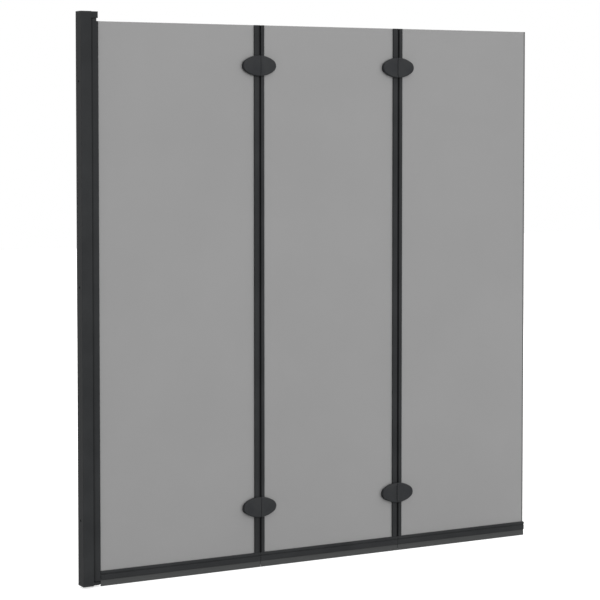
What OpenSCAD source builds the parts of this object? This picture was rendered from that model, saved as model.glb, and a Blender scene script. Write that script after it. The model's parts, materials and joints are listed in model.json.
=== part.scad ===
// Folding bath screen: a wall channel, a pivot profile and three glass panels,
// joined by two pairs of oval clamp hinges.
// The origin is the centre of the face that lies on the wall.
// +X runs along the unfolded screen, -Y is its front and +Z is up.

/* [Overall] */
// Height of the wall channel with its two end caps
channel_height = 1381.5; // [1200:0.5:1600]
// Distance from the wall to the first fold line
first_fold_x = 487; // [440:0.5:560]
// Distance from the first fold line to the second
fold_pitch = 405; // [340:1:480]
// Distance from the second fold line to the free edge
last_panel_reach = 409; // [340:0.5:480]
// Step from the top of the channel down to the top of the glass
glass_step = 23; // [19:0.5:30]
// Thickness of the glass
glass_thickness = 5; // [4:0.5:6]
// Width of the arris that is ground on every edge of the glass
glass_arris = 0.7; // [0.4:0.1:1]

/* [Wall channel] */
// Distance that the wall channel stands off the wall
channel_width = 27; // [25:0.5:32]
// Depth of the wall channel, front to back
channel_depth = 32; // [31:0.5:40]
// Thickness of the channel's two flanges
channel_wall = 1.8; // [1.4:0.1:2.2]
// Thickness of the channel's web on the wall
channel_web = 2.2; // [1.6:0.1:2.6]
// Radius on the channel's long edges
channel_edge_r = 0.6; // [0.3:0.1:0.8]
// Thickness of each end cap's plate
end_cap_plate = 3; // [2:0.5:4]
// Diameter of the holes for the wall screws
wall_hole_d = 6; // [4:0.5:8]
// Height of the lower wall hole above the channel's bottom
wall_hole_low = 159.5; // [100:0.5:190]
// Height of the middle wall hole above the channel's bottom
wall_hole_mid = 721.5; // [600:0.5:780]
// Height of the upper wall hole above the channel's bottom
wall_hole_high = 1214.5; // [1080:0.5:1290]

/* [Adjusting profile] */
// Gap that stays between the web and the adjusting profile
adjust_gap = 2.8; // [2:0.1:4]
// Clearance of the sliding fit between channel and adjusting profile
slide_clearance = 0.3; // [0.2:0.05:0.5]
// Set-back of the adjusting profile's nose from the flange tips
nose_recess = 1; // [0.5:0.1:2]
// Wall of the adjusting profile
adjust_wall = 1.6; // [1.2:0.1:2]
// Thickness of the adjusting profile's nose, which holds the seal
nose_wall = 4; // [3.4:0.1:5]
// Diameter of the adjusting screws
adjust_screw_d = 4; // [3:0.5:5]
// Travel of each adjusting slot
adjust_slot = 8; // [6:1:10]
// Height of the lowest adjusting screw above the channel's bottom
adjust_screw_low = 205; // [160:5:260]
// Distance between adjusting screws
adjust_screw_pitch = 485; // [400:5:500]

/* [Pivot profile] */
// Distance from the wall to the pivot line
pivot_x = 36.5; // [36:0.5:41]
// Radius of the pivot profile's round back
pivot_r = 8.5; // [8:0.1:8.9]
// Distance from the pivot line to the profile's glass side
pivot_nose = 12; // [11:0.5:14]
// Radius of the bore along the pivot line
pivot_bore_r = 4.5; // [4:0.1:4.8]
// Radius of the pivot pins
pivot_pin_r = 3; // [2.5:0.1:3.2]
// Length of each pin inside its bush
pivot_pin_reach = 21; // [14:1:30]
// Wall between the bore and the glass slot
pivot_slot_wall = 0.9; // [0.6:0.1:1.2]
// Thickness of the glazing gasket beside the glass
glazing_thickness = 1; // [0.8:0.1:1.5]
// Set-in of the bush heads from the pivot profile's outline
bush_inset = 3.2; // [1.2:0.1:3.4]
// Height of the top bush's head, seen as a neck under the arm
neck_height = 7; // [5:0.5:9]
// Thickness of the bottom bush's flange
bush_flange = 1.2; // [1:0.1:2]

/* [Pivot arms] */
// Half depth of the top arm
top_arm_half = 9.5; // [8:0.5:10.5]
// Radius on the top arm's nose
top_arm_nose_r = 5; // [3:0.5:6]
// Half depth of the bottom arm
bottom_arm_half = 10.6; // [9:0.1:10.9]
// Height of the bottom arm's upper face above the channel's bottom
bottom_arm_top = 7.5; // [6:0.5:10]
// Distance from the wall to the back of both arms
arm_start = 8; // [7:0.5:9]
// Distance from the wall to the end of the tails inside the adjusting profile
arm_tail_end = 20.5; // [18:0.5:21]
// Length of the tails inside the adjusting profile
arm_tail = 28; // [20:1:40]

/* [Edge strips] */
// Distance that the edge strips stand proud of the glass
strip_proud = 4; // [3:0.25:4.5]
// Width of the strip on the wall side of each fold
wide_strip = 13; // [12:0.5:15]
// Width of the strip on the free side of each fold
narrow_strip = 9.2; // [8:0.2:11]
// Gap between the two strips
strip_gap = 5.7; // [5:0.1:7]
// Distance from the first fold line to its gap
first_gap_offset = -1.4; // [-2:0.1:0]
// Distance from the second fold line to its gap
second_gap_offset = 1.9; // [1:0.1:3]
// Radius of the bead along the wide strip
bead_r = 1.1; // [0.8:0.1:1.4]
// Wall of the bulb in the fold seal
bulb_wall = 0.7; // [0.5:0.1:1]

/* [Hinges] */
// Length of an oval hinge
oval_length = 93; // [90:0.2:98]
// Height of an oval hinge
oval_height = 51.5; // [46:0.5:54]
// Radius of the oval's two ends
oval_end_r = 16.5; // [14:0.5:18]
// Distance from the fold line to the middle of the oval
oval_offset = 2; // [0:0.1:4]
// Height of the oval's crown above the glass
crown_height = 11.5; // [10:0.25:13]
// Radius on the rim of the oval's face
oval_rim_r = 3; // [1.5:0.25:3.5]
// Height that the oval's face rises from its rim to its middle
face_rise = 1; // [0.5:0.25:1.5]
// Gap between the two halves of an oval
oval_gap = 1; // [0.6:0.1:1.6]
// Distance from the top of the glass to the upper hinges' middle
top_hinge_drop = 101; // [60:1:200]
// Height of the lower hinges' middle above the channel's bottom
low_hinge_height = 148.5; // [110:0.5:260]
// Radius of a hinge knuckle
knuckle_r = 2.6; // [2.4:0.1:3.2]
// Radius of a hinge pin
hinge_pin_r = 1.5; // [1.2:0.1:1.8]
// Length of the hinge pins
hinge_pin_length = 39; // [34:0.5:42]
// Length of the middle knuckle
mid_knuckle = 13; // [10:0.5:18]
// Thickness of the gaskets between hinge and glass
gasket_thickness = 2; // [1:0.1:2.5]
// Radius of the clamp screws
clamp_screw_r = 3; // [2.5:0.1:3.2]
// Radius of the clamp screws' heads
clamp_head_r = 5.2; // [4.5:0.1:5.5]
// Distance from each tip of the oval to its clamp screw
clamp_screw_inset = 20; // [18:0.5:23]
// Radius of the holes in the glass
glass_hole_r = 5; // [4.6:0.1:6]

/* [Bottom rails] */
// Height of the rails' upper face above the channel's bottom
rail_top = 32; // [30:0.5:40]
// Height of the rails' lower face above the channel's bottom
rail_bottom = 11; // [9:0.5:12]
// Half thickness of the rail over its bead
rail_bead_half = 8.5; // [7.5:0.1:8.8]
// Height of the rail's bead
rail_bead = 7; // [5:0.5:8]
// Half thickness of the rail over its lower band
rail_band_half = 8; // [7:0.1:8.4]
// Height of the groove between bead and band
rail_groove = 1.8; // [1.5:0.1:3.5]
// Half thickness of the rail in that groove
rail_neck_half = 6.6; // [5.2:0.1:6.8]
// Height of the glass's lower edge above the rail's lower face
rail_glass_seat = 6; // [5.5:0.1:8]
// Gap between neighbouring rails
rail_gap = 1; // [0.6:0.1:1.6]
// Distance that the drip seal reaches below the channel's bottom
drip_reach = 4.5; // [0:0.5:6]
// Thickness of the drip seal's lips
drip_lip = 1.8; // [1.2:0.1:2.2]
// Half spread of the drip seal's lips where they start
drip_half = 5.2; // [4.6:0.1:6]
// Angle that each lip leans outward
drip_lean = 4; // [0:0.5:7]

/* [Hidden] */
$fn = 64;

LEFT = -1;
RIGHT = 1;
FRONT = 1;
BACK = -1;

frame_black = "#37383a";
steel_grey = "#8d9196";
rubber_black = "#1b1b1c";
nylon_black = "#2b2c2e";
lip_grey = "#4a4a4c";
glass_grey = "#7f817f";

// Small clearances and the overlap that cuts run past a face
cut = 1;
running_clearance = 0.05;
seat_clearance = 0.1;
soft_clearance = 0.3;

glass_half = glass_thickness / 2;
glass_top = channel_height - glass_step;
glass_bottom = rail_bottom + rail_glass_seat;
fold_x = [first_fold_x, first_fold_x + fold_pitch];
gap_x = [fold_x[0] + first_gap_offset, fold_x[1] + second_gap_offset];
free_x = fold_x[1] + last_panel_reach;

// Each hinge is the same part; the second one is turned back to front
long_side = [LEFT, RIGHT];
pin_face = [BACK, FRONT];

channel_inner_half = channel_depth / 2 - channel_wall;
adjust_half = channel_inner_half - slide_clearance;
adjust_start = channel_web + adjust_gap;
nose_x = channel_width - nose_recess;
adjust_inner_half = adjust_half - adjust_wall;
adjust_bottom = bottom_arm_top;
seal_foot_half = 2.3;
seal_foot = 1.4;
seal_neck_half = 1.1;
seal_neck = 1.2;
seal_head_half = 3.2;

top_arm_low = glass_top + neck_height + soft_clearance;
top_arm_top = channel_height - end_cap_plate;
pivot_end = pivot_x + pivot_nose;
pivot_bottom = bottom_arm_top + soft_clearance + bush_flange;
pivot_corner_r = 1.2;
slot_start = pivot_x + pivot_bore_r + pivot_slot_wall;
slot_half = glass_half + glazing_thickness + seat_clearance;
glass_1_start = slot_start + glazing_thickness;

strip_half = glass_half + strip_proud;
strip_corner_r = 0.9;
strip_web = 5;
narrow_web = 3;
strip_slot_half = glass_half + seat_clearance;
groove_r = 1.5;
groove_neck = 1;
groove_neck_half = 0.9;
bulb_r = (strip_gap - 2 * soft_clearance) / 2;

oval_side_r = ((oval_length / 2 - oval_end_r) ^ 2 + (oval_height / 2) ^ 2 - oval_end_r ^ 2)
    / (2 * (oval_height / 2 - oval_end_r));
oval_side_shift = oval_side_r - oval_height / 2;
oval_end_x = oval_length / 2 - oval_end_r;
oval_tangent_x = oval_end_x * oval_side_r / (oval_side_r - oval_end_r);
rim_height = crown_height - 0.75 * face_rise;
side_height = rim_height - oval_rim_r;
dome_long_r = ((oval_length / 2) ^ 2 + face_rise ^ 2) / (2 * face_rise);
dome_cross_r = ((oval_height / 2) ^ 2 + face_rise ^ 2) / (2 * face_rise);
knuckle_clearance = 0.3;
outer_knuckle = (hinge_pin_length - mid_knuckle) / 2 - knuckle_clearance;
clamp_head_depth = 2.6;
clamp_head_edge = oval_length / 2 - clamp_screw_inset + clamp_head_r;
clamp_head_top = crown_height - dome_long_r + sqrt(dome_long_r ^ 2 - clamp_head_edge ^ 2);
clamp_screw_end = side_height - 1;
clamp_hole_end = clamp_screw_end + 0.5;
gasket_inset = 0.3;
notch_clearance = 0.4;
hinge_z = [low_hinge_height, glass_top - top_hinge_drop];
LOW = 0;
TOP = 1;

rail_start = pivot_end + 0.7;
rail_corner_r = 2.4;
band_corner_r = 1.2;
drip_foot_half = 2.4;
drip_foot = 1.6;
drip_neck_half = 1.1;
drip_neck = 1.4;
drip_base = 1.7;
drip_back_short = 3;

// Lifts what is measured from the channel's bottom, so that the wall face's centre is at zero
module from_bottom(z = 0) {
    translate([0, 0, z - channel_height / 2]) children();
}

// A rectangle from corner a to corner b with rounded corners
module rounded_rect(a, b, r) {
    translate([a.x + r, a.y]) square([b.x - a.x - 2 * r, b.y - a.y]);
    translate([a.x, a.y + r]) square([b.x - a.x, b.y - a.y - 2 * r]);
    for (x = [a.x + r, b.x - r], y = [a.y + r, b.y - r])
        translate([x, y]) circle(r);
}

// A rectangle that is centred on Y and runs from x0 to x1
module band(x0, x1, half) {
    translate([x0, -half]) square([x1 - x0, 2 * half]);
}

// Wall side

module channel_section() {
    difference() {
        rounded_rect([0, -channel_depth / 2], [channel_width, channel_depth / 2], channel_edge_r);
        band(channel_web, channel_width + cut, channel_inner_half);
    }
}

module adjuster_slot() {
    slot_x = (adjust_start + nose_x) / 2;
    for (s = [LEFT, RIGHT])
        translate([slot_x + s * adjust_slot / 2, channel_inner_half - cut, 0])
            rotate([-90, 0, 0])
                cylinder(r = adjust_screw_d / 2 + seat_clearance, h = channel_wall + 2 * cut);
    translate([slot_x - adjust_slot / 2, channel_inner_half - cut, -adjust_screw_d / 2 - seat_clearance])
        cube([adjust_slot, channel_wall + 2 * cut, adjust_screw_d + 2 * seat_clearance]);
}

module wall_channel() {
    color(frame_black) difference() {
        from_bottom(end_cap_plate)
            linear_extrude(channel_height - 2 * end_cap_plate) channel_section();
        for (z = [wall_hole_low, wall_hole_mid, wall_hole_high])
            from_bottom(z) translate([-cut, 0, 0])
                rotate([0, 90, 0]) cylinder(d = wall_hole_d, h = channel_web + 2 * cut);
        for (i = [0:2])
            from_bottom(adjust_screw_low + i * adjust_screw_pitch) adjuster_slot();
    }
}

module adjusting_section() {
    difference() {
        rounded_rect([adjust_start, -adjust_half], [nose_x, adjust_half], channel_edge_r);
        band(adjust_start + adjust_wall, nose_x - nose_wall, adjust_inner_half);
        band(nose_x - seal_neck - cut, nose_x + cut, seal_neck_half + seat_clearance);
        band(nose_x - seal_neck - seal_foot - seat_clearance, nose_x - seal_neck,
             seal_foot_half + seat_clearance);
    }
}

module adjusting_profile() {
    color(frame_black) difference() {
        from_bottom(adjust_bottom)
            linear_extrude(top_arm_low - adjust_bottom) adjusting_section();
        for (i = [0:2])
            from_bottom(adjust_screw_low + i * adjust_screw_pitch)
                translate([(adjust_start + nose_x) / 2, adjust_inner_half - cut, 0])
                    rotate([-90, 0, 0])
                        cylinder(r = adjust_screw_d / 2 + running_clearance, h = adjust_wall + 2 * cut);
    }
}

module adjusting_screws() {
    head_r = adjust_screw_d * 0.95;
    head_height = adjust_screw_d * 0.55;
    shank = channel_depth / 2 - adjust_inner_half + adjust_screw_d / 2;
    color(steel_grey)
        for (i = [0:2])
            from_bottom(adjust_screw_low + i * adjust_screw_pitch)
                translate([(adjust_start + nose_x) / 2, channel_depth / 2, 0])
                    rotate([90, 0, 0]) {
                        cylinder(d = adjust_screw_d, h = shank);
                        difference() {
                            translate([0, 0, -head_height]) cylinder(r = head_r, h = head_height);
                            translate([0, 0, -head_height - cut])
                                cylinder(r = head_r * 0.45, h = head_height * 0.6 + cut, $fn = 6);
                        }
                    }
}

module pivot_seal() {
    color(rubber_black)
        from_bottom(adjust_bottom)
            linear_extrude(top_arm_low - adjust_bottom) {
                band(nose_x - seal_neck - seal_foot, nose_x - seal_neck, seal_foot_half);
                band(nose_x - seal_neck, nose_x, seal_neck_half);
                band(nose_x, pivot_x - pivot_r - soft_clearance, seal_head_half);
            }
}

// A cap's plate over the channel's end and the plug that holds it beside the web
module end_cap(up) {
    plug_depth = 12;
    plug_half = channel_inner_half - 2;
    translate([0, 0, up > 0 ? 0 : -end_cap_plate])
        linear_extrude(end_cap_plate)
            rounded_rect([0, -channel_depth / 2], [channel_width, channel_depth / 2], channel_edge_r);
    translate([channel_web + seat_clearance, -plug_half, up > 0 ? -plug_depth : 0])
        cube([adjust_gap - 2 * seat_clearance, 2 * plug_half, plug_depth]);
}

module top_end_cap() {
    color(nylon_black) from_bottom(channel_height - end_cap_plate) end_cap(1);
}

module bottom_end_cap() {
    color(nylon_black) from_bottom(end_cap_plate) end_cap(-1);
}

// The part of an arm that sits inside the adjusting profile
module arm_tail_section() {
    band(arm_start, arm_tail_end, adjust_inner_half - 2 * seat_clearance);
}

// The top arm from x0 outward; its head outside the channel is as high as the end cap
module top_arm_section(x0) {
    band(x0, pivot_x, top_arm_half);
    rounded_rect([pivot_x - top_arm_nose_r, -top_arm_half], [pivot_end, top_arm_half], top_arm_nose_r);
}

module top_pivot_arm() {
    color(frame_black) difference() {
        union() {
            from_bottom(top_arm_low) linear_extrude(top_arm_top - top_arm_low)
                top_arm_section(arm_start);
            from_bottom(top_arm_low) linear_extrude(channel_height - soft_clearance - top_arm_low)
                top_arm_section(channel_width + soft_clearance);
            from_bottom(top_arm_low - arm_tail) linear_extrude(arm_tail) arm_tail_section();
        }
        from_bottom(top_arm_low - cut) translate([pivot_x, 0, 0])
            cylinder(r = pivot_pin_r, h = top_arm_top - top_arm_low - cut);
    }
}

// The bottom arm from x0 outward; its nose is round, so that the first panel swings clear of it
module bottom_arm_section(x0) {
    intersection() {
        union() {
            band(x0, pivot_x, bottom_arm_half);
            translate([pivot_x, 0]) circle(pivot_nose);
        }
        band(x0, pivot_end, bottom_arm_half);
    }
}

module bottom_pivot_arm() {
    color(frame_black) difference() {
        union() {
            from_bottom(end_cap_plate) linear_extrude(bottom_arm_top - end_cap_plate)
                bottom_arm_section(arm_start);
            from_bottom(soft_clearance) linear_extrude(end_cap_plate)
                bottom_arm_section(channel_width + soft_clearance);
            from_bottom(bottom_arm_top) linear_extrude(arm_tail) arm_tail_section();
        }
        from_bottom(soft_clearance + cut) translate([pivot_x, 0, 0])
            cylinder(r = pivot_pin_r, h = bottom_arm_top);
    }
}

module top_pivot_pin() {
    color(steel_grey) from_bottom(glass_top - pivot_pin_reach) translate([pivot_x, 0, 0])
        cylinder(r = pivot_pin_r, h = top_arm_top - 2 * cut - glass_top + pivot_pin_reach);
}

module bottom_pivot_pin() {
    color(steel_grey) from_bottom(soft_clearance + cut) translate([pivot_x, 0, 0])
        cylinder(r = pivot_pin_r, h = pivot_bottom + pivot_pin_reach - soft_clearance - cut);
}

// First panel

// The pivot profile's outline: a round back on the pivot line and a square glass side
module pivot_outline(inset) {
    translate([pivot_x, 0]) circle(pivot_r - inset);
    band(pivot_x, pivot_end - inset - pivot_corner_r, pivot_r - inset);
    rounded_rect([pivot_x, -pivot_r + inset], [pivot_end - inset, pivot_r - inset], pivot_corner_r);
}

module pivot_profile() {
    chamber_wall = 1.4;
    color(frame_black) from_bottom(pivot_bottom)
        linear_extrude(glass_top - pivot_bottom) difference() {
            pivot_outline(0);
            translate([pivot_x, 0]) circle(pivot_bore_r);
            band(slot_start, pivot_end + cut, slot_half);
            for (s = [FRONT, BACK])
                translate([(slot_start + pivot_end) / 2, s * (slot_half + pivot_r) / 2])
                    square([pivot_end - slot_start - 2 * chamber_wall,
                            pivot_r - slot_half - 2 * chamber_wall], center = true);
        }
}

module bush(head) {
    difference() {
        union() {
            linear_extrude(head) pivot_outline(bush_inset);
            translate([pivot_x, 0, -pivot_pin_reach - cut])
                cylinder(r = pivot_bore_r - running_clearance, h = pivot_pin_reach + cut + head);
        }
        translate([pivot_x, 0, -pivot_pin_reach - 2 * cut])
            cylinder(r = pivot_pin_r + running_clearance, h = pivot_pin_reach + head + 3 * cut);
    }
}

module top_pivot_bush() {
    color(nylon_black) from_bottom(glass_top) bush(neck_height);
}

module bottom_pivot_bush() {
    color(nylon_black) from_bottom(pivot_bottom) mirror([0, 0, 1]) bush(bush_flange);
}

module glazing_gasket() {
    color(rubber_black) from_bottom(glass_bottom) linear_extrude(glass_top - glass_bottom)
        difference() {
            band(slot_start + seat_clearance, pivot_end - seat_clearance,
                 glass_half + glazing_thickness);
            band(glass_1_start, pivot_end, glass_half);
        }
}

// Glass

// A pane's cross section from a to b, with its four corners cut at 45 degrees
module arrised_section(a, b) {
    polygon([[a + glass_arris, -glass_half], [b - glass_arris, -glass_half],
             [b, glass_arris - glass_half], [b, glass_half - glass_arris],
             [b - glass_arris, glass_half], [a + glass_arris, glass_half],
             [a, glass_half - glass_arris], [a, glass_arris - glass_half]]);
}

// A pane from x0 to x1, with one hole for each clamp screw at the given places
module pane(x0, x1, screw_xs) {
    height = glass_top - glass_bottom;
    color(glass_grey) difference() {
        from_bottom(glass_bottom) intersection() {
            linear_extrude(height) arrised_section(x0, x1);
            translate([x1 + cut, 0, height]) rotate([0, 90, 180])
                linear_extrude(x1 - x0 + 2 * cut) arrised_section(0, height);
        }
        for (x = screw_xs, z = hinge_z)
            from_bottom(z) translate([x, glass_half + cut, 0])
                rotate([90, 0, 0]) cylinder(r = glass_hole_r, h = glass_thickness + 2 * cut);
    }
}

// Where the pane ends in the strip on the wall side of a fold, and starts on the other side
function pane_end(fold) = gap_x[fold] - strip_web - seat_clearance;
function pane_start(fold) = gap_x[fold] + strip_gap + narrow_web + seat_clearance;

// Distance from the fold line to the tip of the leaf on one side
function leaf_reach(fold, side) = oval_length / 2 + side * long_side[fold] * oval_offset;
function screw_x(fold, side) = fold_x[fold] + side * (leaf_reach(fold, side) - clamp_screw_inset);

module glass_panel_1() {
    pane(glass_1_start, pane_end(0), [screw_x(0, LEFT)]);
}

module glass_panel_2() {
    pane(pane_start(0), pane_end(1), [screw_x(0, RIGHT), screw_x(1, LEFT)]);
}

module glass_panel_3() {
    pane(pane_start(1), free_x, [screw_x(1, RIGHT)]);
}

// Edge strips and fold seals

module wide_strip_section(face) {
    difference() {
        union() {
            rounded_rect([-wide_strip, -strip_half], [0, strip_half], strip_corner_r);
            translate([-bead_r - strip_corner_r / 2, -face * (strip_half - bead_r / 2)]) circle(bead_r);
        }
        band(-wide_strip - cut, -strip_web, strip_slot_half);
        band(-groove_neck - cut, cut, groove_neck_half + seat_clearance);
        translate([-groove_neck - groove_r, 0]) circle(groove_r + seat_clearance);
    }
}

module narrow_strip_section() {
    difference() {
        rounded_rect([0, -strip_half], [narrow_strip, strip_half], strip_corner_r);
        band(narrow_web, narrow_strip + cut, strip_slot_half);
    }
}

module wide_edge_strip(fold) {
    color(frame_black) from_bottom(rail_top) translate([gap_x[fold], 0, 0])
        linear_extrude(glass_top - rail_top) wide_strip_section(-pin_face[fold]);
}

module narrow_edge_strip(fold) {
    color(frame_black) from_bottom(rail_top) translate([gap_x[fold] + strip_gap, 0, 0])
        linear_extrude(glass_top - rail_top) narrow_strip_section();
}

module fold_seal(fold) {
    color(rubber_black) from_bottom(rail_top) translate([gap_x[fold], 0, 0])
        linear_extrude(glass_top - rail_top) {
            translate([-groove_neck - groove_r, 0]) circle(groove_r);
            band(-groove_neck - groove_r, soft_clearance + bulb_wall, groove_neck_half);
            difference() {
                translate([strip_gap / 2, 0]) circle(bulb_r);
                translate([strip_gap / 2, 0]) circle(bulb_r - bulb_wall);
            }
        }
}

// Hinges
// They are drawn flat: x along the screen from the fold line, y up, z out of the glass plane

// Two wide arcs make the long sides of the oval and two small ones its ends
module oval_outline(inset) {
    intersection() {
        translate([0, -oval_side_shift]) circle(oval_side_r - inset, $fn = 180);
        translate([0, oval_side_shift]) circle(oval_side_r - inset, $fn = 180);
        square([2 * oval_tangent_x, oval_height], center = true);
    }
    for (s = [LEFT, RIGHT])
        translate([s * oval_end_x, 0]) circle(oval_end_r - inset);
}

// A barrel that curves gently along the oval and more across it
module dome() {
    sweep = asin(oval_length / dome_long_r);
    translate([0, 0, crown_height - dome_long_r])
        rotate([90, 0, 0]) rotate([0, 0, 90 - sweep])
            rotate_extrude(angle = 2 * sweep, $fn = 360)
                intersection() {
                    translate([dome_long_r - dome_cross_r, 0]) circle(dome_cross_r, $fn = 180);
                    translate([dome_long_r - 2 * crown_height, -oval_height * 0.6])
                        square([3 * crown_height, oval_height * 1.2]);
                }
}

// A disc as high as the oval's rim, with that rim rounded
module rimmed_disc(r) {
    rotate_extrude($fn = 180) {
        square([r, side_height]);
        square([r - oval_rim_r, rim_height]);
        translate([r - oval_rim_r, side_height]) circle(oval_rim_r);
    }
}

// The part of the oval between the lines where its wide arcs meet its ends
module between_ends() {
    rise = oval_height;
    lean = rise * oval_end_x / oval_side_shift;
    linear_extrude(rim_height)
        polygon([[oval_end_x, 0], [oval_end_x + lean, rise], [-oval_end_x - lean, rise],
                 [-oval_end_x, 0], [-oval_end_x - lean, -rise], [oval_end_x + lean, -rise]]);
}

module oval_button() {
    intersection() {
        translate([0, -oval_side_shift, 0]) rimmed_disc(oval_side_r);
        translate([0, oval_side_shift, 0]) rimmed_disc(oval_side_r);
        between_ends();
    }
    for (s = [LEFT, RIGHT])
        translate([s * oval_end_x, 0, 0]) rimmed_disc(oval_end_r);
    intersection() {
        linear_extrude(crown_height + cut) oval_outline(oval_rim_r);
        dome();
    }
}

// One half of the oval, cleared over the edge strips
module half_oval(fold, side) {
    notch_start = gap_x[fold] - fold_x[fold] - wide_strip - notch_clearance;
    notch_end = gap_x[fold] - fold_x[fold] + strip_gap + narrow_strip + notch_clearance;
    difference() {
        intersection() {
            translate([long_side[fold] * oval_offset, 0, 0]) oval_button();
            translate([side > 0 ? oval_gap / 2 : -oval_length, -oval_height, gasket_thickness])
                cube([oval_length - oval_gap / 2, 2 * oval_height, crown_height]);
        }
        translate([notch_start, -oval_height, -cut])
            cube([notch_end - notch_start, 2 * oval_height, strip_proud + bead_r + notch_clearance + cut]);
    }
}

module knuckle_rod(length, r) {
    rotate([90, 0, 0]) cylinder(r = r, h = length, center = true);
}

// The left leaf has the two outer knuckles and the right leaf the one between them
module knuckles(side, extra_length, r) {
    if (side > 0) {
        knuckle_rod(mid_knuckle + extra_length, r);
    } else {
        for (s = [LEFT, RIGHT])
            translate([0, s * (hinge_pin_length - outer_knuckle) / 2, 0])
                knuckle_rod(outer_knuckle + extra_length, r);
    }
}

module knuckled_half(fold, side) {
    bore_clearance = side > 0 ? running_clearance : 0;
    difference() {
        union() {
            half_oval(fold, side);
            translate([0, 0, crown_height]) knuckles(side, 0, knuckle_r);
        }
        translate([0, 0, crown_height])
            knuckles(-side, 2 * knuckle_clearance, knuckle_r + knuckle_clearance);
        translate([0, 0, crown_height])
            knuckle_rod(hinge_pin_length + 2 * knuckle_clearance, hinge_pin_r + bore_clearance);
    }
}

// Places a flat drawn hinge piece on the front or the back of the glass
module on_glass(fold, level, face) {
    from_bottom(hinge_z[level]) translate([fold_x[fold], 0, 0])
        mirror([0, face > 0 ? 0 : 1, 0]) translate([0, -glass_half, 0]) rotate([90, 0, 0]) children();
}

// The leaf on the back has the through hole and the countersink for the clamp screw
module hinge_leaf(fold, level, side, face) {
    x = screw_x(fold, side) - fold_x[fold];
    color(frame_black) on_glass(fold, level, face) difference() {
        if (face == pin_face[fold]) knuckled_half(fold, side);
        else half_oval(fold, side);
        if (face == BACK) {
            translate([x, 0, 0]) cylinder(r = clamp_screw_r + seat_clearance, h = crown_height + cut);
            translate([x, 0, clamp_head_top - clamp_head_depth])
                cylinder(r = clamp_head_r + seat_clearance, h = crown_height);
        } else {
            translate([x, 0, -cut]) cylinder(r = clamp_screw_r, h = clamp_hole_end + cut);
        }
    }
}

module hinge_pin(fold, level) {
    color(steel_grey) on_glass(fold, level, pin_face[fold])
        translate([0, 0, crown_height]) knuckle_rod(hinge_pin_length, hinge_pin_r);
}

// Flat gaskets under both leaves; the back one has the collar that lines the glass hole
module clamp_gaskets(fold, side) {
    tip = side * leaf_reach(fold, side);
    strip_edge = side > 0
        ? gap_x[fold] - fold_x[fold] + strip_gap + narrow_strip
        : gap_x[fold] - fold_x[fold] - wide_strip;
    x = screw_x(fold, side) - fold_x[fold];
    color(rubber_black)
        for (level = [LOW, TOP], face = [FRONT, BACK])
            on_glass(fold, level, face) difference() {
                union() {
                    linear_extrude(gasket_thickness) intersection() {
                        translate([long_side[fold] * oval_offset, 0]) oval_outline(gasket_inset);
                        translate([min(strip_edge + side * notch_clearance, tip), -oval_height / 2])
                            square([abs(tip - strip_edge) - notch_clearance, oval_height]);
                    }
                    if (face == BACK)
                        translate([x, 0, seat_clearance - glass_thickness])
                            cylinder(r = glass_hole_r - running_clearance,
                                     h = glass_thickness + gasket_thickness - seat_clearance);
                }
                translate([x, 0, -glass_thickness - cut])
                    cylinder(r = clamp_screw_r + seat_clearance,
                             h = glass_thickness + gasket_thickness + 2 * cut);
            }
}

// Clamp screws go in from the back and end inside the front leaf
module clamp_screws(fold, side) {
    x = screw_x(fold, side) - fold_x[fold];
    length = clamp_head_top + glass_thickness + clamp_screw_end;
    color(steel_grey)
        for (level = [LOW, TOP])
            on_glass(fold, level, BACK) translate([x, 0, clamp_head_top]) difference() {
                union() {
                    translate([0, 0, -length]) cylinder(r = clamp_screw_r, h = length);
                    translate([0, 0, -clamp_head_depth]) cylinder(r = clamp_head_r, h = clamp_head_depth);
                }
                translate([0, 0, -clamp_head_depth])
                    cylinder(r = clamp_screw_r * 0.75, h = clamp_head_depth + cut, $fn = 6);
            }
}

// Bottom rails and drip seals, drawn with x across the glass and y up

module rail_section() {
    rail_height = rail_top - rail_bottom;
    band_top = rail_height - rail_bead - rail_groove;
    difference() {
        union() {
            rounded_rect([-rail_bead_half, rail_height - rail_bead],
                         [rail_bead_half, rail_height], rail_corner_r);
            translate([-rail_neck_half, band_corner_r])
                square([2 * rail_neck_half, rail_height - band_corner_r - rail_corner_r]);
            rounded_rect([-rail_band_half, 0], [rail_band_half, band_top], band_corner_r);
        }
        translate([-strip_slot_half, rail_glass_seat])
            square([2 * strip_slot_half, rail_height]);
        translate([-drip_neck_half - seat_clearance, -cut])
            square([2 * (drip_neck_half + seat_clearance), drip_neck + 2 * cut]);
        translate([-drip_foot_half - seat_clearance, drip_neck - seat_clearance])
            square([2 * (drip_foot_half + seat_clearance), drip_foot + 2 * seat_clearance]);
    }
}

// One lip under the rail, leaning outward on its way down
module lip(side, drop) {
    translate([side * drip_half, 0]) rotate(side * drip_lean)
        translate([side > 0 ? -drip_lip : 0, -drop]) square([drip_lip, drop]);
}

module drip_section() {
    drop = rail_bottom + drip_reach;
    translate([-drip_foot_half, drip_neck]) square([2 * drip_foot_half, drip_foot]);
    translate([-drip_neck_half, -drip_base])
        square([2 * drip_neck_half, drip_base + drip_neck + drip_foot]);
    translate([-drip_half, -drip_base]) square([2 * drip_half, drip_base]);
    lip(LEFT, drop);
    lip(RIGHT, drop - drip_back_short);
}

// Runs a section along the screen from x0 to x1
module along_screen(x0, x1) {
    translate([x0, 0, 0]) rotate([90, 0, 90]) linear_extrude(x1 - x0) children();
}

// Ends of each rail; neighbours part in the middle of the strip gap
function rail_end(i) = i == 2 ? free_x : gap_x[i] + (strip_gap - rail_gap) / 2;
function rail_begin(i) = i == 0 ? rail_start : gap_x[i - 1] + (strip_gap + rail_gap) / 2;

module bottom_rail(i) {
    color(frame_black) from_bottom(rail_bottom)
        along_screen(rail_begin(i), rail_end(i)) rail_section();
}

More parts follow.
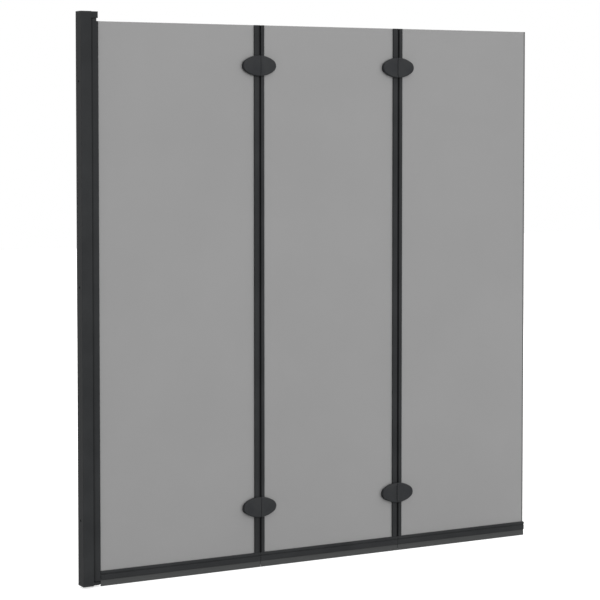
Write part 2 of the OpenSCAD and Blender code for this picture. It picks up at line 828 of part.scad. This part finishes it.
module drip_seal(i) {
    color(lip_grey) from_bottom(rail_bottom)
        along_screen(rail_begin(i), rail_end(i)) drip_section();
}

wall_channel();
adjusting_profile();
top_end_cap();
bottom_end_cap();
top_pivot_arm();
bottom_pivot_arm();
top_pivot_pin();
bottom_pivot_pin();
adjusting_screws();
pivot_seal();
pivot_profile();
top_pivot_bush();
bottom_pivot_bush();
glazing_gasket();
glass_panel_1();
glass_panel_2();
glass_panel_3();
wide_edge_strip(0);  // edge_strip_1_right
narrow_edge_strip(0);  // edge_strip_2_left
wide_edge_strip(1);  // edge_strip_2_right
narrow_edge_strip(1);  // edge_strip_3_left
fold_seal(0);  // fold_seal_1
fold_seal(1);  // fold_seal_2
bottom_rail(0);  // bottom_rail_1
bottom_rail(1);  // bottom_rail_2
bottom_rail(2);  // bottom_rail_3
drip_seal(0);  // drip_seal_1
drip_seal(1);  // drip_seal_2
drip_seal(2);  // drip_seal_3
hinge_leaf(0, TOP, LEFT, FRONT);  // hinge_1_top_left_front
hinge_leaf(0, TOP, LEFT, BACK);  // hinge_1_top_left_back
hinge_leaf(0, TOP, RIGHT, FRONT);  // hinge_1_top_right_front
hinge_leaf(0, TOP, RIGHT, BACK);  // hinge_1_top_right_back
hinge_pin(0, TOP);  // hinge_1_top_pin
hinge_leaf(0, LOW, LEFT, FRONT);  // hinge_1_low_left_front
hinge_leaf(0, LOW, LEFT, BACK);  // hinge_1_low_left_back
hinge_leaf(0, LOW, RIGHT, FRONT);  // hinge_1_low_right_front
hinge_leaf(0, LOW, RIGHT, BACK);  // hinge_1_low_right_back
hinge_pin(0, LOW);  // hinge_1_low_pin
hinge_leaf(1, TOP, LEFT, FRONT);  // hinge_2_top_left_front
hinge_leaf(1, TOP, LEFT, BACK);  // hinge_2_top_left_back
hinge_leaf(1, TOP, RIGHT, FRONT);  // hinge_2_top_right_front
hinge_leaf(1, TOP, RIGHT, BACK);  // hinge_2_top_right_back
hinge_pin(1, TOP);  // hinge_2_top_pin
hinge_leaf(1, LOW, LEFT, FRONT);  // hinge_2_low_left_front
hinge_leaf(1, LOW, LEFT, BACK);  // hinge_2_low_left_back
hinge_leaf(1, LOW, RIGHT, FRONT);  // hinge_2_low_right_front
hinge_leaf(1, LOW, RIGHT, BACK);  // hinge_2_low_right_back
hinge_pin(1, LOW);  // hinge_2_low_pin
clamp_gaskets(0, LEFT);  // hinge_1_left_gaskets
clamp_gaskets(0, RIGHT);  // hinge_1_right_gaskets
clamp_gaskets(1, LEFT);  // hinge_2_left_gaskets
clamp_gaskets(1, RIGHT);  // hinge_2_right_gaskets
clamp_screws(0, LEFT);  // hinge_1_left_screws
clamp_screws(0, RIGHT);  // hinge_1_right_screws
clamp_screws(1, LEFT);  // hinge_2_left_screws
clamp_screws(1, RIGHT);  // hinge_2_right_screws
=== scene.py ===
# %% [markdown]
# # A folding bath screen
#
# The screen is a black frame round three panes of grey glass, folded flat against a wall when not in use.
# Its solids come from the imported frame, already in place and in metres.
# This lesson gives them their finishes, rounds their edges, closes the seams of the folds, and sets up the
# camera, the floor and the lights.

# %% Load the frame
import json
import math

import bmesh
import bpy
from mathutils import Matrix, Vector


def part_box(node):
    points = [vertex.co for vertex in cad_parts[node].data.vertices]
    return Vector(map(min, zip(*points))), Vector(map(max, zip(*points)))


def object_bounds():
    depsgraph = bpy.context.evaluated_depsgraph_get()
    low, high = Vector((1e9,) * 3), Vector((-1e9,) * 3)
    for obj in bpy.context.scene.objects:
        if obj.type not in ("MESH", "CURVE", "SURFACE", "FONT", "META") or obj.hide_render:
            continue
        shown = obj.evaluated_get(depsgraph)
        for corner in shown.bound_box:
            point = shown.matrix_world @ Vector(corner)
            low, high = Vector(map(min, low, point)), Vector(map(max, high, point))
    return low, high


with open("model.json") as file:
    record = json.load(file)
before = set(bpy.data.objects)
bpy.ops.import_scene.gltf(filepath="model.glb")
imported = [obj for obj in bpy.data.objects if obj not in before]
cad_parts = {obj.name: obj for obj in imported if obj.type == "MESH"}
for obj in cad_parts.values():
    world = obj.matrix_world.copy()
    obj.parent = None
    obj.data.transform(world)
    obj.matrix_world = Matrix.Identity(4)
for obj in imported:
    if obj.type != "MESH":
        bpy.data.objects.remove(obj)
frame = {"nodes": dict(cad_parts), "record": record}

cad_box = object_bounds()
nodes = frame["nodes"]
print("CAD nodes:", len(nodes), "box:", [tuple(round(v, 4) for v in corner) for corner in cad_box])

# %% [markdown]
# Blender's shaders work in linear light, while a colour picked on a screen is sRGB.
# One function turns a hex value into the linear colour that a socket wants, so every finish below can be
# written as the hex value that its maker would quote. The numbers in it are those of the sRGB curve.

# %% Linear colour from an sRGB hex value
FRAME_BLACK = "#28292a"


def linear(hex_value):
    channels = [int(hex_value[i:i + 2], 16) / 255 for i in (1, 3, 5)]
    return tuple(c / 12.92 if c <= 0.04045 else ((c + 0.055) / 1.055) ** 2.4 for c in channels) + (1.0,)


print("frame black is", [round(c, 4) for c in linear(FRAME_BLACK)])

# %% [markdown]
# A material is a small graph of nodes. Adding a node always takes the same three steps: make it, set its
# values, and link its inputs. One function does all three.

# %% One helper for nodes
def add_node(tree, kind, settings=None, links=None, **properties):
    node = tree.nodes.new(kind)
    for name, value in properties.items():
        setattr(node, name, value)
    for socket, value in (settings or {}).items():
        node.inputs[socket].default_value = value
    for socket, source in (links or {}).items():
        tree.links.new(source, node.inputs[socket])
    return node


# %% [markdown]
# Every finish on this screen follows one recipe. A slow noise, the drift, moves the colour between two
# close tones and makes some places a little glossier than others. A fine noise, the grain, raises the
# relief that breaks up a reflection. Both are read in Object coordinates with their size in millimetres,
# so the grain has its real size on every piece.

# %% The recipe for a surface
MM = 0.001
NOISE_DETAIL = 3.0
NOISE_CORE = (0.35, 0.65)  # the noise spends nearly all its time between these two values


def surface(name, tones, drift_mm, grain_mm, gloss=None, relief=None, stretch=1.0, **sockets):
    material = bpy.data.materials.new(name)
    material.use_nodes = True
    tree = material.node_tree
    shader = tree.nodes["Principled BSDF"]
    for socket, value in sockets.items():
        shader.inputs[socket.replace("_", " ")].default_value = value
    place = add_node(tree, "ShaderNodeTexCoord").outputs["Object"]
    along = add_node(tree, "ShaderNodeMapping", {"Scale": (1 / stretch, 1.0, 1.0)}, {"Vector": place})
    drift, grain = (
        add_node(tree, "ShaderNodeTexNoise", {"Scale": 1 / (size * MM), "Detail": NOISE_DETAIL},
                 {"Vector": along.outputs["Vector"]}).outputs["Fac"]
        for size in (drift_mm, grain_mm))
    ramp = add_node(tree, "ShaderNodeValToRGB", links={"Fac": drift})
    for element, position, tone in zip(ramp.color_ramp.elements, NOISE_CORE, tones):
        element.position = position
        element.color = linear(tone)
    tree.links.new(ramp.outputs["Color"], shader.inputs["Base Color"])
    if gloss:
        spread = add_node(tree, "ShaderNodeMapRange", {"To Min": gloss[0], "To Max": gloss[1]},
                          {"Value": drift})
        tree.links.new(spread.outputs["Result"], shader.inputs["Roughness"])
    if relief:
        bump = add_node(tree, "ShaderNodeBump", {"Strength": relief[0], "Distance": relief[1] * MM},
                        {"Height": grain})
        tree.links.new(bump.outputs["Normal"], shader.inputs["Normal"])
    print("made", name)
    return material


# %% [markdown]
# The profiles, rails and strips are extruded aluminium with a black powder coat.
# The powder flows out in the oven to a satin film with a faint orange peel, a millimetre or two across,
# and its gloss drifts a little along each length.

# %% Powder coated aluminium
black_metal = surface(
    "powder_coated_aluminium", (FRAME_BLACK, "#2d2e2f"), drift_mm=90, grain_mm=1.6,
    gloss=(0.48, 0.58), relief=(0.12, 0.05), IOR=1.5, Specular_IOR_Level=0.06)

# %% [markdown]
# The adjusting profile slides in the wall channel when the screen is fitted. A coat would scrape off, so it
# is anodised and dyed black. Its tone is also set darker than the coat as painted shade, so what shows of it
# in the groove between the channel and the first pane stays dark.

# %% Black anodised aluminium, darkened as painted groove shade
anodised_groove_shade = surface(
    "anodised_aluminium_groove_shade", ("#141415", "#18181a"), drift_mm=60, grain_mm=0.4,
    gloss=(0.34, 0.42), relief=(0.06, 0.02), IOR=1.5, Specular_IOR_Level=0.1)

# %% [markdown]
# The oval hinges are die cast in zinc, then coated in the same black. A casting is smoother than an
# extrusion, so its peel is finer and its film a little glossier, which lets the eye tell the ovals from
# the strips that they cross.

# %% Coated zinc castings
black_casting = surface(
    "coated_zinc_casting", ("#2b2c2e", "#303132"), drift_mm=30, grain_mm=0.9,
    gloss=(0.36, 0.44), relief=(0.1, 0.04), IOR=1.5, Specular_IOR_Level=0.06)

# %% [markdown]
# The panes are toughened float glass, tinted grey through their whole thickness.
# The tint is so dense that the black parts behind a pane hardly show, so only a part of the light passes
# straight through and the rest is scattered by the tint. Toughened glass is never quite flat, so a very
# slow noise bends its reflections.

# %% Grey toughened glass
CLEAR_SHARE = 0.2

grey_glass = surface(
    "grey_toughened_glass", ("#8b8b8b", "#8d8d8d"), drift_mm=240, grain_mm=240,
    relief=(0.05, 0.5), Roughness=0.05, IOR=1.5, Transmission_Weight=CLEAR_SHARE)

# %% [markdown]
# The edges of a pane are ground, which leaves them dull. Where a pane ends in the open, its end is seen
# through the tint as a darker line, as wide as the glass is thick. That line is shade, and here it is
# painted into the glass colour. The strips and the profile cover every upright edge but the free end of the
# last pane. The painted line stands at one place along X, so Object coordinates can draw it. A Mix node has
# several sockets named A and B, so those for colours go by number.

# %% Painted shade at the free end of the last pane
# Width, edge softness and tone of the painted shade band along the pane's free end.
END_SHADE_WIDTH = 5.0 * MM
END_SHADE_SOFTNESS = 0.4 * MM
END_SHADE_TONE = "#5a5a5a"
COLOUR_A, COLOUR_B, MIXED_COLOUR = 6, 7, 2


# Paints a darker band into the glass colour as shade where the pane's end would show through.
def paint_end_shade(material, free_end):
    tree = material.node_tree
    base_colour = tree.nodes["Principled BSDF"].inputs["Base Color"]
    tint = base_colour.links[0].from_socket
    place = add_node(tree, "ShaderNodeTexCoord").outputs["Object"]
    along = add_node(tree, "ShaderNodeSeparateXYZ", links={"Vector": place}).outputs["X"]
    line_start = free_end - END_SHADE_WIDTH
    reach = add_node(tree, "ShaderNodeMapRange",
                     {"From Min": line_start, "From Max": line_start + END_SHADE_SOFTNESS}, {"Value": along})
    mix = add_node(tree, "ShaderNodeMix", {COLOUR_B: linear(END_SHADE_TONE)},
                   {0: reach.outputs["Result"], COLOUR_A: tint}, data_type="RGBA")
    tree.links.new(mix.outputs[MIXED_COLOUR], base_colour)


free_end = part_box("glass_panel_3")[1].x
paint_end_shade(grey_glass, free_end)
print("the glass ends at", round(free_end, 4))

# %% [markdown]
# The seals in the folds and the gaskets under the hinges are EPDM, a matt black rubber that is extruded
# warm and dusted with talc. Rubber scatters light, so it is rough and shows hardly any reflection.

# %% EPDM rubber
black_rubber = surface(
    "epdm_rubber", ("#18181a", "#202022"), drift_mm=2.5, grain_mm=2.5,
    gloss=(0.72, 0.9), relief=(0.2, 0.05), IOR=1.52, Specular_IOR_Level=0.1)

# %% [markdown]
# The drip lips under the rails are soft PVC in dark grey, extruded in one length for each rail.
# Fine lines run along them from the die. A noise that is stretched along X draws those lines.

# %% Soft PVC lips
grey_lip = surface(
    "soft_pvc", ("#383939", "#3f4040"), drift_mm=0.8, grain_mm=0.8, stretch=60,
    gloss=(0.45, 0.6), relief=(0.15, 0.05), IOR=1.53, Specular_IOR_Level=0.2)

# %% [markdown]
# The end caps and the pivot bushes are moulded in black nylon. The mould is spark eroded, which leaves a
# fine, even texture and no gloss.

# %% Moulded nylon
black_nylon = surface(
    "moulded_nylon", ("#29292a", "#2f3031"), drift_mm=0.6, grain_mm=0.6,
    gloss=(0.5, 0.62), relief=(0.25, 0.04), IOR=1.53, Specular_IOR_Level=0.15)

# %% [markdown]
# The screws and the pivot pins are turned from stainless steel. The lathe leaves rings round their axis,
# too fine to see one by one, so the noise here is coarser than the real tool mark and only breaks up the
# gloss.

# %% Turned stainless steel
steel = surface(
    "turned_stainless_steel", ("#b3b5b6", "#c4c6c7"), drift_mm=0.5, grain_mm=0.5,
    gloss=(0.24, 0.36), Metallic=1.0)

# %% [markdown]
# The hinge pins sit in the seam of each oval, where bright steel would glint. They are blackened in a hot
# bath, which turns their skin to black oxide and keeps the fit in the knuckles. Their dark tone also paints
# the shade in the seam.

# %% Black oxide pins, dark also as painted seam shade
oxide_pin_seam_shade = surface(
    "black_oxide_steel_seam_shade", ("#19191a", "#202021"), drift_mm=0.5, grain_mm=0.5,
    gloss=(0.4, 0.5), IOR=1.5, Specular_IOR_Level=0.1)

# %% [markdown]
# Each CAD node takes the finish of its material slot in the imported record. The hinge halves and the
# adjusting profile share a slot with the other black metal, and the hinge pins share one with the other
# steel, so their names tell them apart.

# %% Give every node its finish
FINISHES = {
    "black_metal": black_metal,
    "grey_glass": grey_glass,
    "black_rubber": black_rubber,
    "lip_rubber": grey_lip,
    "black_nylon": black_nylon,
    "steel": steel,
}

slots = {row["node"]: row["material_slot"] for row in frame["record"]["subparts"]}
for name, node in nodes.items():
    finish = FINISHES[slots[name]]
    if name.startswith("hinge_") and finish is black_metal:
        finish = black_casting
    # The pins' dark tone also paints the shade in the seam of each oval.
    elif name.startswith("hinge_") and name.endswith("_pin"):
        finish = oxide_pin_seam_shade
    # The adjusting profile gets the darker tone that paints the shade in the groove beside the channel.
    elif name == "adjusting_profile":
        finish = anodised_groove_shade
    node.data.materials.clear()
    node.data.materials.append(finish)
print("finished nodes:", len(slots))

# %% [markdown]
# No real edge is perfectly sharp. A coated profile turns its corners over a few tenths of a millimetre,
# and that small round is what catches the light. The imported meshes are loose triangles, so a Weld joins
# them first, and a Bevel then rounds only the edges that turn by more than its angle. Its hardened normals
# keep the flat faces flat.

# %% Round the edges
WELD_GAP = 0.01 * MM
EDGE_ROUND = {
    "black_metal": 0.25 * MM,
    "lip_rubber": 0.3 * MM,
    "black_nylon": 0.4 * MM,
    "steel": 0.2 * MM,
}
EDGE_ANGLE = math.radians(40)
BEVEL_STEPS = 3


def weld_skin(node):
    weld = node.modifiers.new("weld", "WELD")
    weld.merge_threshold = WELD_GAP


def round_edges(node, radius):
    weld_skin(node)
    bevel = node.modifiers.new("edge_round", "BEVEL")
    bevel.width = radius
    bevel.segments = BEVEL_STEPS
    bevel.limit_method = "ANGLE"
    bevel.angle_limit = EDGE_ANGLE
    bevel.harden_normals = True
    bevel.use_clamp_overlap = True


for name, node in nodes.items():
    radius = EDGE_ROUND.get(slots[name])
    if radius:
        round_edges(node, radius)

# %% [markdown]
# The seal in a fold is cut a little too wide for its gap, so that the closed fold squeezes it. The solids
# leave air beside it instead, because two pieces may not share space there, and that air would let a thread
# of light through the seam. A Displace grows the skin of each seal by as much as the squeeze.

# %% Close the seams
SEAL_SQUEEZE = 0.35 * MM


def grow(node, by):
    weld_skin(node)
    swell = node.modifiers.new("swell", "DISPLACE")
    swell.strength = by
    swell.mid_level = 0.0


for fold in (1, 2):
    grow(nodes[f"fold_seal_{fold}"], SEAL_SQUEEZE)
print("seals grown by", SEAL_SQUEEZE / MM, "mm")

# %% [markdown]
# The picture is taken from the left of the screen and a little above its middle. Upright edges look upright
# when the camera is level, but a level camera sees the screen too low in its frame. A small tilt and a
# shift of the lens share the way back, so the uprights lean by less than a third of a degree.

# %% Camera
CAMERA_PLACE = (-1.9503, -4.5147, 0.4333)
CAMERA_YAW = math.radians(-29.523)
CAMERA_TILT = math.radians(2.702)
LENS_MM = 122.93
SENSOR_MM = 36
LENS_SHIFT_Y = -0.14
FAR_CLIP = 100  # metres, well past the far end of the floor

camera = bpy.data.objects.new("camera", bpy.data.cameras.new("camera"))
camera.location = CAMERA_PLACE
camera.rotation_euler = (math.radians(90) - CAMERA_TILT, 0, CAMERA_YAW)
camera.data.lens = LENS_MM
camera.data.sensor_width = SENSOR_MM
camera.data.shift_y = LENS_SHIFT_Y
camera.data.clip_end = FAR_CLIP
bpy.context.scene.collection.objects.link(camera)
bpy.context.scene.camera = camera
print("camera at", CAMERA_PLACE)

# %% [markdown]
# The floor is a pale sheet under the lips, wide enough to reach behind the picture. Seen by the camera it
# is lifted to white, and only the shadow of the screen darkens it. Glass and gloss see it as plain white,
# so no horizon shows in a pane. Its real colour, which lights the screen from below, is a light grey.
# One function swaps a shader for another one wherever a ray of a named kind meets it.

# %% Floor
FLOOR_HALF = 12  # metres from its middle to its edge
FLOOR_TONE = "#c0c0c0"
FLOOR_LIFT = 0.65
WHITE = (1.0, 1.0, 1.0, 1.0)
PLAIN_WHITE = {"Color": WHITE, "Strength": 1.0}


def swap_for_rays(tree, plain, seen, *ray_names):
    rays = add_node(tree, "ShaderNodeLightPath").outputs
    factor = rays[ray_names[0]]
    for name in ray_names[1:]:
        either = add_node(tree, "ShaderNodeMath", links={0: factor, 1: rays[name]}, operation="MAXIMUM")
        factor = either.outputs["Value"]
    return add_node(tree, "ShaderNodeMixShader", links={0: factor, 1: plain, 2: seen}).outputs["Shader"]


def pale_floor():
    material = bpy.data.materials.new("pale_floor")
    material.use_nodes = True
    tree = material.node_tree
    tree.nodes.clear()
    paint = add_node(tree, "ShaderNodeBsdfDiffuse", {"Color": linear(FLOOR_TONE)}).outputs["BSDF"]
    glow = add_node(tree, "ShaderNodeEmission", {"Color": WHITE, "Strength": FLOOR_LIFT})
    lifted = add_node(tree, "ShaderNodeAddShader", links={0: paint, 1: glow.outputs["Emission"]})
    white = add_node(tree, "ShaderNodeEmission", PLAIN_WHITE)
    seen = swap_for_rays(tree, paint, lifted.outputs["Shader"], "Is Camera Ray")
    seen = swap_for_rays(tree, seen, white.outputs["Emission"], "Is Transmission Ray", "Is Glossy Ray")
    add_node(tree, "ShaderNodeOutputMaterial", links={"Surface": seen})
    return material


floor_shape = bmesh.new()
bmesh.ops.create_grid(floor_shape, x_segments=1, y_segments=1, size=FLOOR_HALF)
bmesh.ops.translate(floor_shape, verts=floor_shape.verts, vec=(0, 0, cad_box[0].z))
floor_mesh = bpy.data.meshes.new("floor")
floor_shape.to_mesh(floor_mesh)
floor_shape.free()
floor = bpy.data.objects.new("floor", floor_mesh)
floor_mesh.materials.append(pale_floor())
bpy.context.scene.collection.objects.link(floor)
print("floor at", round(cad_box[0].z, 4))

# %% [markdown]
# The world is a plain studio. The camera, glass and gloss see it white. The light that falls on matt
# surfaces comes from softer walls, which are brightest above and to the right and dim low on the left, so
# the narrow sides of the profiles stay nearly as dark as their fronts.

# %% World
BRIGHT_SIDE = Vector((0.7, -0.4, 1.0)).normalized()
FACING_AWAY = -1.0  # the dot product of two opposite directions
DIM_WALL = 0.12
BRIGHT_WALL = 1.62


def studio_world():
    world = bpy.data.worlds.new("studio")
    world.use_nodes = True
    tree = world.node_tree
    tree.nodes.clear()
    outward = add_node(tree, "ShaderNodeTexCoord").outputs["Generated"]
    facing = add_node(tree, "ShaderNodeVectorMath", {1: BRIGHT_SIDE}, {0: outward}, operation="DOT_PRODUCT")
    level = add_node(tree, "ShaderNodeMapRange",
                     {"From Min": FACING_AWAY, "To Min": DIM_WALL, "To Max": BRIGHT_WALL},
                     {"Value": facing.outputs["Value"]})
    walls = add_node(tree, "ShaderNodeBackground", {"Color": WHITE}, {"Strength": level.outputs["Result"]})
    white = add_node(tree, "ShaderNodeBackground", PLAIN_WHITE)
    seen = swap_for_rays(tree, walls.outputs["Background"], white.outputs["Background"],
                         "Is Camera Ray", "Is Transmission Ray", "Is Glossy Ray")
    add_node(tree, "ShaderNodeOutputWorld", links={"Surface": seen})
    return world


bpy.context.scene.world = studio_world()
print("walls from", DIM_WALL, "to", BRIGHT_WALL)

# %% [markdown]
# Two large soft lamps add to the walls. The first hangs far in front, so the panes get nearly as much of it
# at the bottom as at the top, and high enough to stay out of their reflections. The second fills the back,
# where the screen would otherwise fall into the dim half of the studio. The Standard view then shows each
# colour about as it was written.

# %% Lamps
SCREEN_MIDDLE = Vector(((cad_box[0].x + cad_box[1].x) / 2, 0, 0))


def area_lamp(name, place, width, power):
    lamp = bpy.data.objects.new(name, bpy.data.lights.new(name, "AREA"))
    lamp.data.shape = "SQUARE"
    lamp.data.size = width
    lamp.data.energy = power
    lamp.location = place
    lamp.rotation_euler = (SCREEN_MIDDLE - lamp.location).to_track_quat("-Z", "Y").to_euler()
    bpy.context.scene.collection.objects.link(lamp)
    print(name, "at", place, "with", power, "W")


area_lamp("high_front_lamp", place=(0.5, -9.0, 4.5), width=5.5, power=355)
area_lamp("back_fill_lamp", place=(3.2, 5.0, 2.6), width=3.0, power=110)

bpy.context.scene.view_settings.view_transform = "Standard"
